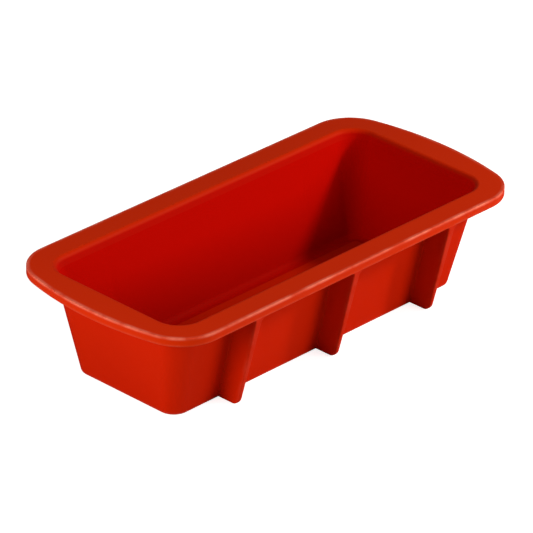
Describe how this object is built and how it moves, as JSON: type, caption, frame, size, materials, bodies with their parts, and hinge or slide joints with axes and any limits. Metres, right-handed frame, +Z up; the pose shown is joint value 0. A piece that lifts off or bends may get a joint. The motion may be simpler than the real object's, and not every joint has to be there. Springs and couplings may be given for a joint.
{
  "type": "soap loaf mould",
  "caption": "Rectangular loaf mould in flexible silicone, with drafted walls, a flat rim that bows out into end grips, and upright ribs along its long sides.",
  "frame": {"origin": "middle of the underside, where the mould stands on the table", "axes": "+X along the loaf, +Y across it towards the back, +Z up out of the cavity"},
  "size_m": [0.278, 0.131, 0.0625],
  "materials": {
    "silicone": "satin moulded platinum silicone, saturated warm red"
  },
  "bodies": {
    "root": {"floor": "silicone", "front_wall": "silicone", "back_wall": "silicone", "left_end_wall": "silicone", "right_end_wall": "silicone", "front_rim": "silicone", "back_rim": "silicone", "left_grip": "silicone", "right_grip": "silicone", "rib_front_left": "silicone", "rib_front_middle": "silicone", "rib_front_right": "silicone", "rib_back_left": "silicone", "rib_back_middle": "silicone", "rib_back_right": "silicone"}
  },
  "joints": []
}
